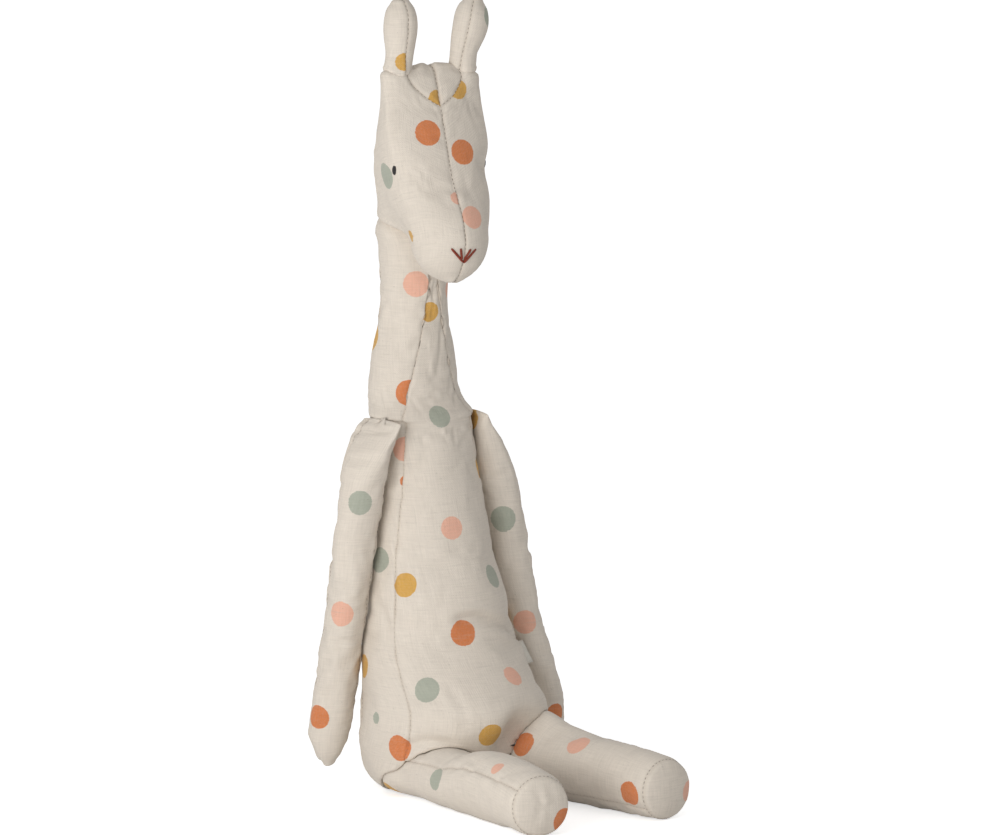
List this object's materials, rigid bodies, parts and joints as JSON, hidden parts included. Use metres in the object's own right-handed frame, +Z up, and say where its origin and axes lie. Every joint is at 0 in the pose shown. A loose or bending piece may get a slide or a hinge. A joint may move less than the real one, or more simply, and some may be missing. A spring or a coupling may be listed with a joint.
{
  "type": "plush giraffe",
  "caption": "Sitting plush giraffe with a long neck, sewn from spotted linen panels over stuffing, with hanging arms, swinging legs and a nodding head.",
  "frame": {"origin": "middle of the flat seat that the giraffe sits on", "axes": "+Z up along the neck; the giraffe faces -Y with its legs stretched ahead, and its right side is towards -X"},
  "size_m": [0.157, 0.2405, 0.5075],
  "materials": {
    "linen": "matte",
    "stuffing": "matte",
    "eye_thread": "satin",
    "mouth_thread": "satin",
    "label_tape": "matte"
  },
  "bodies": {
    "torso": {"body_stuffing": "stuffing", "neck_stuffing": "stuffing", "front_panel": "linen", "side_panel_right": "linen", "side_panel_left": "linen", "neck_panel_right": "linen", "neck_panel_left": "linen", "back_panel_right": "linen", "back_panel_left": "linen", "seat_panel": "linen", "label_tag": "label_tape"},
    "head": {"head_stuffing": "stuffing", "cheek_panel_right": "linen", "cheek_panel_left": "linen", "crown_panel_right": "linen", "crown_panel_left": "linen", "eye_right": "eye_thread", "eye_left": "eye_thread", "mouth_stitch_right": "mouth_thread", "mouth_stitch_middle": "mouth_thread", "mouth_stitch_left": "mouth_thread"},
    "ear_right": {"ear_right_stuffing": "stuffing", "ear_right_outer_panel": "linen", "ear_right_inner_panel": "linen"},
    "ear_left": {"ear_left_stuffing": "stuffing", "ear_left_outer_panel": "linen", "ear_left_inner_panel": "linen"},
    "arm_right": {"arm_right_stuffing": "stuffing", "arm_right_front_panel": "linen", "arm_right_back_panel": "linen"},
    "arm_left": {"arm_left_stuffing": "stuffing", "arm_left_front_panel": "linen", "arm_left_back_panel": "linen"},
    "leg_right": {"leg_right_stuffing": "stuffing", "leg_right_upper_panel": "linen", "leg_right_under_panel": "linen", "leg_right_sole": "linen"},
    "leg_left": {"leg_left_stuffing": "stuffing", "leg_left_upper_panel": "linen", "leg_left_under_panel": "linen", "leg_left_sole": "linen"}
  },
  "joints": [
    {"name": "head_nod", "type": "hinge", "parent": "torso", "child": "head", "pos_m": [0, 0.0055, 0.352], "axis": [0.9848, -0.1736, 0], "range_deg": [-15, 12], "stiffness_Nm_per_rad": 2},
    {"name": "ear_right_bend", "type": "hinge", "parent": "head", "child": "ear_right", "pos_m": [-0.02534, -0.0144, 0.4635], "axis": [0.1736, 0.9848, 0], "range_deg": [-12, 12], "stiffness_Nm_per_rad": 0.05},
    {"name": "ear_left_bend", "type": "hinge", "parent": "head", "child": "ear_left", "pos_m": [0.01701, -0.02187, 0.4635], "axis": [0.1736, 0.9848, 0], "range_deg": [-12, 12], "stiffness_Nm_per_rad": 0.05},
    {"name": "arm_right_lift", "type": "hinge", "parent": "torso", "child": "arm_right", "pos_m": [-0.03583, -0.012, 0.237], "axis": [0, 1, 0], "range_deg": [0, 135]},
    {"name": "arm_left_lift", "type": "hinge", "parent": "torso", "child": "arm_left", "pos_m": [0.03583, -0.012, 0.237], "axis": [0, -1, 0], "range_deg": [0, 135]},
    {"name": "leg_right_swing", "type": "hinge", "parent": "torso", "child": "leg_right", "pos_m": [-0.0275, -0.04, 0.0165], "axis": [0.9882, -0.153, 0], "range_deg": [0, 90]},
    {"name": "leg_left_swing", "type": "hinge", "parent": "torso", "child": "leg_left", "pos_m": [0.0275, -0.04, 0.0165], "axis": [0.9945, 0.1045, 0], "range_deg": [0, 90]}
  ]
}
